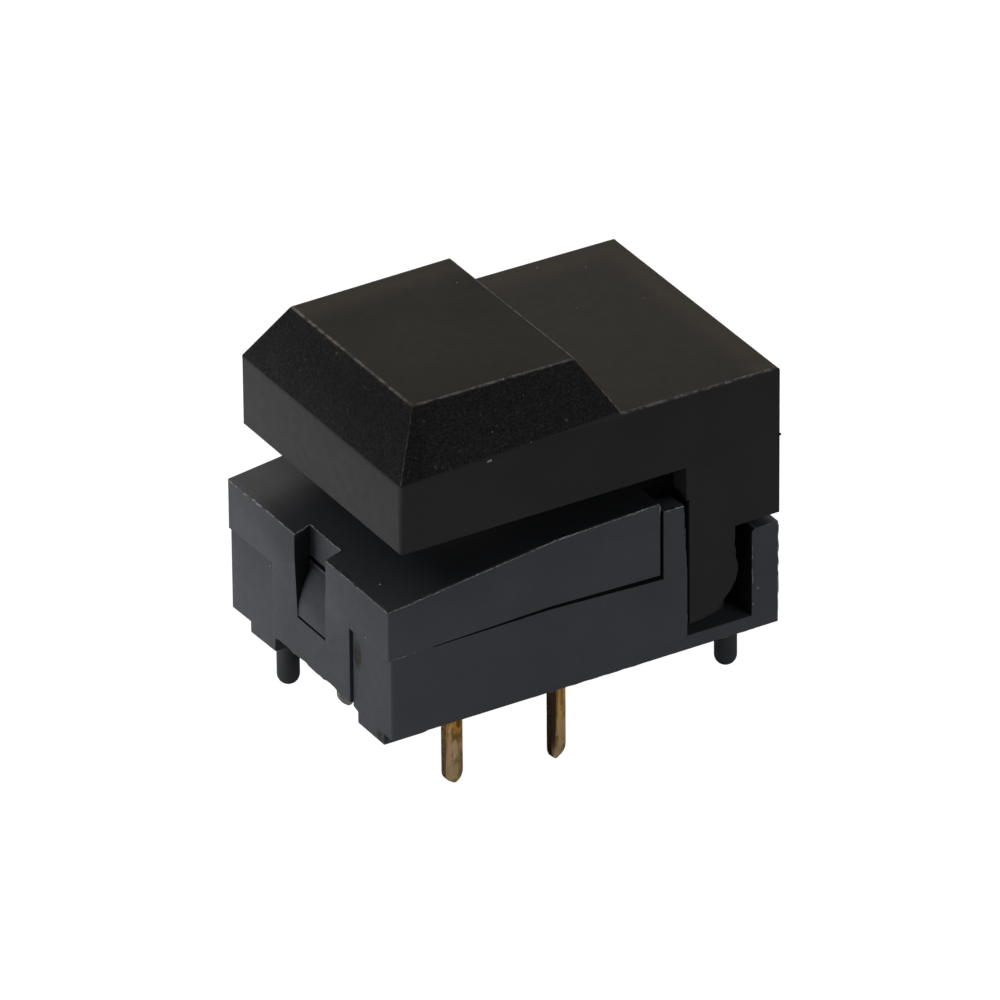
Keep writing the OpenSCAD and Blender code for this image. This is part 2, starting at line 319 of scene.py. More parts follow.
def rag(points, r0, r1, step, seed, gap=0.25, sides=5, index=2, jitter=0.6):
    """A thin ragged line of flash along an edge: a closed tube whose thickness wanders, in short lengths with gaps between them."""
    rnd = random.Random(seed)
    pts = [Vector(p) for p in points]
    path = []
    for a, b in zip(pts, pts[1:]):
        n = max(1, int((b - a).length / step))
        path += [a.lerp(b, i / n) for i in range(n)]
    path.append(pts[-1])
    bm = bmesh.new()

    def tube(seq):
        rings = []
        d = (seq[-1][0] - seq[0][0]).normalized()
        u = d.orthogonal().normalized()
        w = d.cross(u)
        for p, r in seq:
            c = p + (u * rnd.uniform(-jitter, jitter) + w * rnd.uniform(-jitter, jitter)) * r
            t = rnd.uniform(0, 6.28)
            rings.append([bm.verts.new(c + (u * math.cos(t + 6.2832 * k / sides) + w * math.sin(t + 6.2832 * k / sides)) * r * rnd.uniform(0.75, 1.15)) for k in range(sides)])
        # the rings are turned at random, so each is matched to the one before it
        for i in range(1, len(rings)):
            best = min(range(sides), key=lambda s: sum((rings[i][(k + s) % sides].co - rings[i - 1][k].co).length for k in range(sides)))
            rings[i] = rings[i][best:] + rings[i][:best]
        for a, b in zip(rings, rings[1:]):
            for k in range(sides):
                f = bm.faces.new((a[k], a[(k + 1) % sides], b[(k + 1) % sides], b[k]))
                f.material_index, f.smooth = index, True
        for ring in (rings[0], rings[-1]):
            bm.faces.new(ring).material_index = index

    seq, size = [], rnd.uniform(r0, r1)
    for p in path:
        size += rnd.uniform(-0.4, 0.4) * (r1 - r0)
        size = min(r1, max(r0, size))
        if rnd.random() < gap and len(seq) > 2:
            seq.append((p, r0 * 0.3))
            tube(seq)
            seq = []
            continue
        seq.append((p, size if seq else r0 * 0.3))
    if len(seq) > 2:
        tube(seq)
    return obj_from(bm)


def blob(at, size, seed, index=2):
    """A grain of dust or a nib of plastic."""
    rnd = random.Random(seed)
    bm = bmesh.new()
    bmesh.ops.create_icosphere(bm, subdivisions=2, radius=1.0)
    for v in bm.verts:
        k = rnd.uniform(0.75, 1.2)
        v.co = Vector((v.co.x * size[0] * k, v.co.y * size[1] * k, v.co.z * size[2] * k)) + Vector(at)
    for f in bm.faces:
        f.material_index, f.smooth = index, True
    return obj_from(bm)


# ------------------------------------------------------------------ materials
class Mat:
    """Node material whose patterns are measured in millimetres of the object's own space."""

    def __init__(self, name, rough=0.5, metal=0.0, spec=0.5, ior=1.5):
        self.m = bpy.data.materials.new(name)
        self.m.use_nodes = True
        self.t = self.m.node_tree
        self.t.nodes.clear()
        out = self.t.nodes.new("ShaderNodeOutputMaterial")
        self.b = self.t.nodes.new("ShaderNodeBsdfPrincipled")
        self.t.links.new(self.b.outputs[0], out.inputs["Surface"])
        self.b.inputs["Roughness"].default_value = rough
        self.b.inputs["Metallic"].default_value = metal
        self.b.inputs["Specular IOR Level"].default_value = spec
        self.b.inputs["IOR"].default_value = ior
        tc = self.t.nodes.new("ShaderNodeTexCoord")
        mp = self.t.nodes.new("ShaderNodeMapping")
        mp.inputs["Scale"].default_value = (1000, 1000, 1000)
        self.t.links.new(tc.outputs["Object"], mp.inputs["Vector"])
        self.p = mp.outputs[0]

    def link(self, a, b):
        self.t.links.new(a, b)

    def put(self, sock, v):
        if isinstance(v, bpy.types.NodeSocket):
            self.link(v, sock)
        elif hasattr(v, "__len__"):
            sock.default_value = (*v, 1.0) if len(v) == 3 and sock.type == "RGBA" else v
        else:
            sock.default_value = v

    def noise(self, scale, detail=2.0, rough=0.5, stretch=(1, 1, 1), shift=(0, 0, 0), kind="ShaderNodeTexNoise"):
        mp = self.t.nodes.new("ShaderNodeMapping")
        mp.inputs["Scale"].default_value = stretch
        mp.inputs["Location"].default_value = shift
        self.link(self.p, mp.inputs["Vector"])
        n = self.t.nodes.new(kind)
        n.inputs["Scale"].default_value = scale
        if "Detail" in n.inputs:
            n.inputs["Detail"].default_value = detail
        if kind == "ShaderNodeTexNoise":
            n.inputs["Roughness"].default_value = rough
            self.link(mp.outputs[0], n.inputs["Vector"])
            return n.outputs[0]
        self.link(mp.outputs[0], n.inputs["Vector"])
        return n.outputs["Distance"]

    def map(self, v, a, b, c, d, smooth=True):
        n = self.t.nodes.new("ShaderNodeMapRange")
        n.interpolation_type = "SMOOTHSTEP" if smooth else "LINEAR"
        self.link(v, n.inputs["Value"])
        for k, x in zip(("From Min", "From Max", "To Min", "To Max"), (a, b, c, d)):
            n.inputs[k].default_value = x
        return n.outputs[0]

    def math(self, op, a, b=0.0):
        n = self.t.nodes.new("ShaderNodeMath")
        n.operation = op
        self.put(n.inputs[0], a)
        self.put(n.inputs[1], b)
        return n.outputs[0]

    def mix(self, f, a, b):
        n = self.t.nodes.new("ShaderNodeMix")
        n.data_type = "RGBA"
        self.put(n.inputs["Factor"], f)
        self.put([s for s in n.inputs if s.name == "A" and s.type == "RGBA"][0], a)
        self.put([s for s in n.inputs if s.name == "B" and s.type == "RGBA"][0], b)
        return [s for s in n.outputs if s.type == "RGBA"][0]

    def near(self, at, reach, soft=0.5):
        """1 near a point, falling to 0 at the given reach along each axis."""
        s = self.t.nodes.new("ShaderNodeVectorMath")
        s.operation = "SUBTRACT"
        self.link(self.p, s.inputs[0])
        s.inputs[1].default_value = at
        d = self.t.nodes.new("ShaderNodeVectorMath")
        d.operation = "DIVIDE"
        self.link(s.outputs[0], d.inputs[0])
        d.inputs[1].default_value = reach
        n = self.t.nodes.new("ShaderNodeVectorMath")
        n.operation = "LENGTH"
        self.link(d.outputs[0], n.inputs[0])
        return self.map(n.outputs["Value"], 1 - soft, 1, 1, 0)

    def axis(self, k):
        n = self.t.nodes.new("ShaderNodeSeparateXYZ")
        self.link(self.p, n.inputs[0])
        return n.outputs[k]

    def bump(self, height, mm, strength=1.0, under=None):
        n = self.t.nodes.new("ShaderNodeBump")
        n.inputs["Strength"].default_value = strength
        n.inputs["Distance"].default_value = mm * 0.001
        self.link(height, n.inputs["Height"])
        if under is not None:
            self.link(under, n.inputs["Normal"])
        return n.outputs[0]

    def set(self, **k):
        names = {"color": "Base Color", "rough": "Roughness", "normal": "Normal"}
        for a, v in k.items():
            self.put(self.b.inputs[names[a]], v)
        return self


GREY = (0.0515, 0.0562, 0.0652)
BLACK = (0.0200, 0.0200, 0.0200)


def scaled(c, k):
    return tuple(x * k for x in c)


def grey_material(name, wear_and_highlight=0.0, dark=1.0):
    m = Mat(name, rough=0.5, spec=0.5)
    broad = m.noise(0.35, 3)
    fine = m.noise(5.0, 4, 0.6)
    c = m.mix(m.map(broad, 0.35, 0.65, 0, 1), scaled(GREY, 0.95 * dark), scaled(GREY, 1.05 * dark))
    c = m.mix(m.map(fine, 0.40, 0.72, 0, 0.12), c, scaled(GREY, 1.35 * dark))
    # paler ragged colour for rounded edges: partly worn, partly a painted highlight
    if wear_and_highlight:
        c = m.mix(m.map(m.noise(4.5, 3, 0.7), 0.40, 0.60, 0.3 * wear_and_highlight, wear_and_highlight), c, (0.30, 0.305, 0.315))
    # smudges and small marks on the front, and pale grains here and there
    stain = m.math("MULTIPLY", m.near((-9.07, -3.60, 3.15), (0.5, 0.38, 0.86), 0.6), m.map(m.noise(4.5, 4, 0.7, (1, 1, 0.6)), 0.38, 0.52, 0.3, 1))
    c = m.mix(stain, c, (0.008, 0.006, 0.003))
    # painted shade: the cover's top is darkened where the cap's shadow falls on it
    cap_shadow_mask = m.math("MULTIPLY", m.map(m.axis(0), -8.2, -5.4, 0, 1), m.math("MULTIPLY", m.map(m.axis(2), 6.46, 6.52, 0, 1), m.map(m.axis(1), -6.22, -6.12, 0, 1)))
    c = m.mix(m.math("MULTIPLY", m.math("MULTIPLY", cap_shadow_mask, m.map(m.axis(0), 3.50, 3.45, 0, 1)), 0.75), c, (0.008, 0.008, 0.008))
    if dark == 1.0:
        # the front is a little paler at its far end and low down at its near end
        low = m.math("MULTIPLY", m.map(m.axis(1), -4.0, -4.6, 0, 0.75), m.map(m.axis(2), 4.3, 4.0, 0, 1))
        ends = m.math("MAXIMUM", m.map(m.axis(1), 2.2, 3.6, 0, 1), low)
        c = m.mix(m.math("MULTIPLY", m.math("MULTIPLY", m.map(m.axis(0), -8.9, -9.0, 0, 1), ends), 0.9), c, scaled(GREY, 1.15))
    foot = m.math("MULTIPLY", m.near((-8.9, -5.55, 0.25), (0.7, 0.8, 0.45), 0.6), m.map(m.noise(6.0, 3, 0.7), 0.4, 0.6, 0.2, 1))
    c = m.mix(foot, c, (0.012, 0.012, 0.014))
    mark = m.near((-9.19, -4.61, 5.87), (0.3, 0.05, 0.22), 0.6)
    c = m.mix(m.math("MULTIPLY", mark, 0.6), c, (0.02, 0.021, 0.025))
    old = m.near((-9.19, 3.03, 1.3), (0.3, 0.06, 0.55), 0.7)
    c = m.mix(m.math("MULTIPLY", old, 0.5), c, (0.022, 0.023, 0.028))
    dots = m.noise(1.7, 0, 0.5, (1, 1, 1), (3.1, 7.7, 1.3), "ShaderNodeTexVoronoi")
    some = m.map(m.noise(0.8, 1, 0.5, (1, 1, 1), (2.4, 5.2, 6.1)), 0.45, 0.62, 0.1, 0.6)
    c = m.mix(m.math("MULTIPLY", m.map(dots, 0.03, 0.07, 1, 0), some), c, (0.16, 0.165, 0.17))
    # painted shade: below the body's underside the colour darkens, as the body shades the pegs
    c = m.mix(m.map(m.axis(2), -0.35, 0.05, 0.45, 0), c, (0.012, 0.011, 0.011))
    r = m.map(m.noise(2.2, 4, 0.6), 0.3, 0.7, 0.49, 0.56)
    h = m.bump(m.noise(9.0, 3, 0.6), 0.004)
    h = m.bump(m.noise(0.9, 2), 0.010, under=h)
    return m.set(color=c, rough=r, normal=h).m


def black_material(name, grain=0.0, rough=(0.48, 0.53), wear_and_highlight=0.0, tint=BLACK, spec=0.5, painted_light=0.0):
    m = Mat(name, rough=0.5, spec=spec)
    broad = m.noise(0.3, 3)
    c = m.mix(m.map(broad, 0.35, 0.65, 0, 1), scaled(tint, 0.93), scaled(tint, 1.08))
    fine = m.noise(7.0, 4, 0.65)
    c = m.mix(m.map(fine, 0.45, 0.75, 0, 0.15), c, scaled(tint, 1.9))
    # paler ragged colour for rounded edges: partly worn, partly a painted highlight
    if wear_and_highlight:
        c = m.mix(m.map(m.noise(2.6, 4, 0.75), 0.42, 0.60, 0.05 * wear_and_highlight, wear_and_highlight), c, (0.22, 0.215, 0.205))
    if grain:
        spark = m.noise(11.0, 2, 0.6, (1, 1, 1), (1.7, 0.4, 2.9))
        c = m.mix(m.map(spark, 0.54, 0.66, 0, 0.70), c, (0.042, 0.042, 0.043))
        c = m.mix(m.map(spark, 0.47, 0.38, 0, 0.8), c, (0.006, 0.006, 0.006))
        # painted shade: the grain is darker towards the front, on the front slope
        c = m.mix(m.map(m.axis(0), -6.6, -7.6, 0, 0.32), c, (0.004, 0.004, 0.004))
        c = m.mix(m.map(m.noise(5.0, 2, 0.6, (1, 1, 1), (8.7, 3.4, 0.9)), 0.68, 0.76, 0, 0.7), c, (0.10, 0.10, 0.10))
    if painted_light:
        # painted light: the rear flat is a little paler
        z = m.axis(2)
        flat = m.math("MULTIPLY", m.map(z, 12.18, 12.24, 0, 1), m.map(z, 12.6, 12.9, 1, 0))
        c = m.mix(m.math("MULTIPLY", flat, painted_light), c, scaled(tint, 1.5))
        # painted light as well: the outer strips of both flats, at the far side and at the rear, are paler
        strip = m.math("MULTIPLY", flat, m.math("MAXIMUM", m.map(m.axis(0), 7.4, 8.3, 0, 1), m.map(m.axis(1), 4.4, 5.4, 0, 0.85)))
        pad = m.math("MULTIPLY", m.map(z, 14.3, 14.4, 0, 1), m.map(m.axis(1), 3.0, 4.1, 0, 0.8))
        c = m.mix(m.math("MULTIPLY", m.math("MAXIMUM", strip, pad), 0.75), c, (0.040, 0.0385, 0.036))
    dots = m.noise(1.1, 0, 0.5, (1, 1, 1), (5.3, 2.2, 8.1), "ShaderNodeTexVoronoi")
    some = m.map(m.noise(0.8, 1, 0.5, (1, 1, 1), (4.4, 1.2, 6.1)), 0.48, 0.62, 0, 0.45)
    c = m.mix(m.math("MULTIPLY", m.map(dots, 0.02, 0.05, 1, 0), some), c, (0.13, 0.13, 0.13))
    r = m.map(m.noise(2.0, 3, 0.6), 0.3, 0.7, *rough)
    h = m.bump(m.noise(7.0, 3, 0.7), 0.003 + 0.045 * grain)
    h = m.bump(m.noise(22.0, 2, 0.6), 0.0015 + 0.006 * grain, under=h)
    return m.set(color=c, rough=r, normal=h).m


def brass_material(name, tone=(0.74, 0.41, 0.12)):
    m = Mat(name, rough=0.34, metal=0.5)
    c = m.mix(m.map(m.noise(2.9, 4, 0.65, (2.0, 1, 0.45)), 0.36, 0.64, 0, 1), scaled(tone, 0.42), scaled(tone, 1.35))
    c = m.mix(m.map(m.axis(2), -1.6, -3.2, 0, 0.7), c, scaled((1.05, 0.78, 0.45), tone[0]) if tone[2] < 0.2 else scaled(tone, 1.25))
    tarnish = m.map(m.noise(2.3, 4, 0.65, (1, 1, 0.5), (2.2, 0, 4.1)), 0.48, 0.62, 0, 0.7)
    c = m.mix(tarnish, c, scaled(tone, 0.30))
    top = m.map(m.axis(2), -1.6, 0.4, 0, 0.55)
    c = m.mix(m.math("MULTIPLY", top, m.map(m.noise(2.5, 2), 0.3, 0.6, 0.3, 1)), c, (0.42, 0.22, 0.07))
    # painted reflections on the near pins: dark and bright streaks down their faces, such as the dark left side and
    # bright gold stripe of the near rear pin and the dark and pale bands of the near front pin; the root of the near
    # front pin is given darker and more orange patches
    c = m.mix(m.math("MULTIPLY", m.near((-4.58, -3.87, -0.9), (0.34, 0.3, 0.95), 0.35), 0.8), c, (0.78, 0.36, 0.06))
    c = m.mix(m.math("MULTIPLY", m.near((-4.60, -3.87, -1.25), (0.13, 0.3, 0.26), 0.3), 0.85), c, (0.13, 0.085, 0.012))
    c = m.mix(m.math("MULTIPLY", m.near((-4.75, -3.87, -0.45), (0.5, 0.3, 0.25), 0.5), 0.8), c, (0.30, 0.11, 0.035))
    c = m.mix(m.math("MULTIPLY", m.near((-5.02, -3.87, -2.3), (0.13, 0.3, 1.3), 0.5), 0.7), c, (1.0, 0.60, 0.36))
    c = m.mix(m.math("MULTIPLY", m.near((-4.78, -3.87, -2.4), (0.16, 0.3, 0.5), 0.3), 0.55), c, (0.95, 0.72, 0.42))
    c = m.mix(m.math("MULTIPLY", m.near((-5.25, -3.87, -1.9), (0.065, 0.3, 2.4), 0.4), 0.8), c, (0.16, 0.09, 0.045))
    c = m.mix(m.math("MULTIPLY", m.near((-0.24, -3.80, -1.9), (0.26, 0.5, 2.7), 0.35), 0.95), c, (0.042, 0.024, 0.013))
    c = m.mix(m.math("MULTIPLY", m.near((0.12, -3.87, -2.3), (0.11, 0.5, 1.6), 0.5), 0.9), c, (1.0, 0.58, 0.18))
    c = m.mix(m.math("MULTIPLY", m.near((0.22, -3.87, -0.6), (0.24, 0.5, 0.7), 0.4), 0.85), c, (0.36, 0.13, 0.03))
    c = m.mix(m.math("MULTIPLY", m.near((0.40, -3.87, -1.4), (0.06, 0.5, 1.2), 0.4), 0.7), c, (0.9, 0.52, 0.25))
    r = m.map(m.noise(6.0, 3, 0.6, (1, 1, 0.2)), 0.3, 0.7, 0.27, 0.48)
    h = m.bump(m.noise(9.0, 3, 0.6, (1, 1, 0.12)), 0.006)
    h = m.bump(m.noise(2.4, 2), 0.012, under=h)
    return m.set(color=c, rough=r, normal=h).m


def sheared_material(name):
    m = Mat(name, rough=0.5, metal=0.85)
    c = m.mix(m.map(m.noise(3.0, 3, 0.6, (1, 1, 2.5)), 0.35, 0.65, 0, 1), (0.21, 0.12, 0.05), (0.46, 0.33, 0.17))
    # painted dark reflection: the sheared sides darken towards the near rear pin
    c = m.mix(m.map(m.axis(0), -3.5, -1.5, 0, 0.8), c, (0.05, 0.028, 0.014))
    h = m.bump(m.noise(14.0, 2, 0.6, (1, 1, 0.15)), 0.012)
    return m.set(color=c, rough=m.map(m.noise(5.0, 2), 0.3, 0.7, 0.42, 0.62), normal=h).m


def steel_material(name):
    m = Mat(name, rough=0.3, metal=1.0)
    c = m.mix(m.map(m.noise(1.5, 3), 0.35, 0.65, 0, 1), (0.50, 0.50, 0.51), (0.66, 0.66, 0.67))
    h = m.bump(m.noise(16.0, 2, 0.6, (1, 1, 3)), 0.004)
    return m.set(color=c, rough=m.map(m.noise(4.0, 2), 0.3, 0.7, 0.22, 0.4), normal=h).m


def ivory_material(name):
    m = Mat(name, rough=0.4, spec=0.5)
    c = m.mix(m.map(m.noise(0.8, 3), 0.35, 0.65, 0, 1), (0.66, 0.64, 0.57), (0.74, 0.72, 0.66))
    h = m.bump(m.noise(8.0, 3), 0.006)
    return m.set(color=c, rough=m.map(m.noise(3.0, 2), 0.3, 0.7, 0.33, 0.5), normal=h).m


def nib_material(name, a, b):
    m = Mat(name, rough=0.6)
    c = m.mix(m.map(m.noise(7.0, 2), 0.35, 0.65, 0, 1), a, b)
    return m.set(color=c, normal=m.bump(m.noise(20.0, 2), 0.006), rough=m.map(m.noise(4.0, 2), 0.3, 0.7, 0.5, 0.7)).m


GREY_FACE = grey_material("slate_plastic")
GREY_EDGE_WEAR_AND_HIGHLIGHT = grey_material("slate_plastic_edge_wear_and_highlight", wear_and_highlight=0.4)
# a darker copy of the slate plastic: painted shade for gaps and hollows
GREY_PAINTED_SHADE = grey_material("slate_plastic_painted_shade", dark=0.3)
FLASH = nib_material("pale_flash", (0.09, 0.095, 0.105), (0.30, 0.305, 0.32))
BLACK_FACE = black_material("black_plastic", painted_light=0.6)
BLACK_EDGE_WEAR_AND_HIGHLIGHT = black_material("black_plastic_edge_wear_and_highlight", wear_and_highlight=0.55, tint=(0.036, 0.035, 0.033))
BLACK_GRAIN = black_material("black_plastic_grain", grain=1.0, rough=(0.55, 0.68), spec=0.35, tint=(0.0175, 0.0175, 0.0175))
BLACK_NIB = nib_material("black_nib", (0.06, 0.06, 0.06), (0.24, 0.235, 0.22))
DUST = nib_material("dust", (0.22, 0.21, 0.2), (0.42, 0.41, 0.4))
BRASS = brass_material("brass")
DULL_BRASS = brass_material("brass_dull", (0.40, 0.39, 0.36))
SHEARED = sheared_material("brass_sheared")
STEEL = steel_material("spring_steel")
IVORY = ivory_material("natural_plastic")

# ------------------------------------------------------------------ cap


def make_cap():
    e, g = 11.953, 12.341
    near, far = -1, 1
    pts = []

    def v(x, y, z):
        pts.append((x, y, z))
        return len(pts) - 1

    ids = {}
    for s, t in ((-1, "n"), (1, "f")):
        ids[t + "b0"] = v(CX0, s * CH, CB)
        ids[t + "b1"] = v(CX1, s * CH, CB)
        ids[t + "e"] = v(CX0, s * CH, e)
        ids[t + "g"] = v(1.679, s * CH, g)
        ids[t + "r"] = v(CX1, s * CH, 12.271)
        ids[t + "a"] = v(-7.077, s * 4.746, 14.539)
        ids[t + "p"] = v(0.351, s * 4.834, 14.539)
    i = ids
    faces = [
        [i["nb0"], i["nb1"], i["nr"], i["ng"], i["ne"]],
        [i["fb0"], i["fe"], i["fg"], i["fr"], i["fb1"]],
        [i["nb0"], i["ne"], i["fe"], i["fb0"]],
        [i["nb1"], i["fb1"], i["fr"], i["nr"]],
        [i["nb0"], i["fb0"], i["fb1"], i["nb1"]],
        [i["ng"], i["nr"], i["fr"], i["fg"]],
        [i["np"], i["ng"], i["fg"], i["fp"]],
        [i["na"], i["np"], i["fp"], i["fa"]],
        [i["ne"], i["na"], i["fa"], i["fe"]],
        [i["ne"], i["ng"], i["np"], i["na"]],
        [i["fe"], i["fa"], i["fp"], i["fg"]],
    ]
    cap = solid(pts, faces)
    leg = [(4.67, CB + 1.0), (4.67, 7.4), (4.80, 7.4), (4.80, 1.65), (5.06, 1.655), (5.42, 1.69), (5.77, 1.775), (6.05, 1.88), (6.24, 2.01),
           (6.33, 2.19), (6.49, 2.39), (6.66, 2.55), (6.81, 2.74), (6.90, 2.93), (6.98, 3.02), (7.03, 3.25), (7.10, 3.54), (7.08, 3.80),
           (6.99, 4.08), (7.01, 4.42), (6.93, 4.66), (6.97, 5.02), (6.95, 5.30), (6.95, 5.55), (CX1, 5.55), (CX1, CB + 1.0)]
    add(cap, along_y(leg, -CH, CH))
    # hollow below, and room under the pad
    t = 1.02
    cut(cap, block((CX0 + t, -CH + t, -1), (CX1 - t, CH - t, 11.2)))
    cut(cap, block((-6.4, -4.1, 11.0), (-0.1, 4.1, 13.4)))
    add(cap, round_z(DX, 0, 1.3, 8.47, 13.45, 40))
    add(cap, block((CX0 + t - 0.1, -0.45, 10.3), (CX1 - t + 0.1, 0.45, 11.3)))
    for x in (-6.4, 3.2):
        add(cap, block((x - 0.4, -CH + 0.9, 10.3), (x + 0.4, CH - 0.9, 11.3)))
    add(cap, *mirrored(lambda: round_y(PIVX, PIVZ, 0.75, CH - t - 0.82, CH - t + 0.05, 40)))
    clean(cap)

    def weigh(m, d, a, b):
        if abs(m.y) > CH - 0.02 or m.x < CX0 + 0.02 or m.x > CX1 - 0.02:
            if abs(d.z) > 0.9 and m.z > 9:
                return 0.80  # upright corners
            if m.x > CX1 - 0.02 and abs(d.y) > 0.9 and m.z > 12:
                return 1.0  # rear top edge
            if m.z > 12.2:
                return 0.32
            if m.z > 11.9:
                return 0.30
            if m.z < 4 or (abs(m.y) > CH - 0.02 and m.z < 8.8):
                return 0.16
            return 0.22
        if m.z > 12 and abs(d.x) > 0.1 and abs(d.y) > 0.1 and abs(d.z) > 0.1 and m.x < -6:
            return 0.14
        if m.z > 12:
            return 0.26
        if m.z < 9 and abs(m.y) < 5.3 and abs(m.x - DX) > 1.5:
            return 0.1
        return 0.0

    round_edges(cap, 0.26, 4, weigh, 0.3)
    # the side slopes and the front slope have a spark-eroded grain
    bm = bmesh.new()
    bm.from_mesh(cap.data)
    for f in bm.faces:
        n = f.normal
        c = f.calc_center_median()
        # rounded edges keep the paler edge colour, partly worn and partly a painted highlight, only along the cap's top
        # edges
        if f.material_index == 1:
            if c.z < 12.2 or c.x > 8.7 or (n.x < -0.25 and abs(n.y) > 0.25 and c.z < 14.4):
                f.material_index = 0
        elif c.z > 11.5 and 0.3 < n.z < 0.7 and c.x < 0.5:
            f.material_index = 2
    bm.to_mesh(cap.data)
    bm.free()
    shade(cap)
    join(cap, blob((CX1 - 0.05, -CH + 0.04, 9.13), (0.11, 0.06, 0.07), 5, 0))
    join(cap, blob((-4.52, -6.27, 11.99), (0.075, 0.04, 0.055), 6, 4))
    join(cap, blob((-4.42, -6.285, 12.01), (0.04, 0.035, 0.06), 7, 4))
    join(cap, blob((-4.03, -5.76, 12.93), (0.035, 0.03, 0.03), 8, 4))
    join(cap, blob((-0.475, 2.875, 14.545), (0.035, 0.035, 0.02), 9, 4))
    join(cap, blob((-2.94, -4.80, 14.53), (0.05, 0.03, 0.04), 10, 4))
    specks = [((4.97, 5.72, 12.305), 0.040), ((6.71, 4.77, 12.29), 0.032), ((7.36, 1.35, 12.285), 0.030), ((4.62, 2.02, 12.31), 0.026),
              ((-5.93, -6.275, 11.39), 0.024), ((-2.56, -6.275, 12.28), 0.030), ((-2.30, -5.26, 13.85), 0.024), ((-5.93, -5.33, 13.60), 0.022),
              ((-5.13, -5.88, 12.73), 0.020), ((-8.57, -4.71, 11.74), 0.030), ((-8.57, -4.41, 9.00), 0.028), ((-8.57, -1.68, 8.98), 0.024),
              ((-8.57, -5.99, 10.14), 0.018), ((-7.99, 2.50, 12.95), 0.022), ((-7.49, -0.59, 13.83), 0.020)]
    for k, (at, r) in enumerate(specks):
        join(cap, blob(at, (r, r * 0.9, r * 0.8), 60 + k, 4))
    join(cap, rag([(2.0, -CH + 0.03, 12.325), (CX1 - 0.5, -CH + 0.03, 12.262)], 0.010, 0.022, 0.2, 21, 0.3, index=3))
    join(cap, rag([(-7.0, -4.75, 14.53), (0.30, -4.83, 14.53)], 0.008, 0.020, 0.2, 22, 0.3, index=3))
    return piece(cap, "cap_moulding", "cap", ["button_cap"], [BLACK_FACE, BLACK_EDGE_WEAR_AND_HIGHLIGHT, BLACK_GRAIN, BLACK_NIB, DUST])


make_cap()

# ------------------------------------------------------------------ cover


def cover_line(d):
    return [(CF, CZ0 - d), (BX, CZ1 - d), (CR, CZ2 - d)]


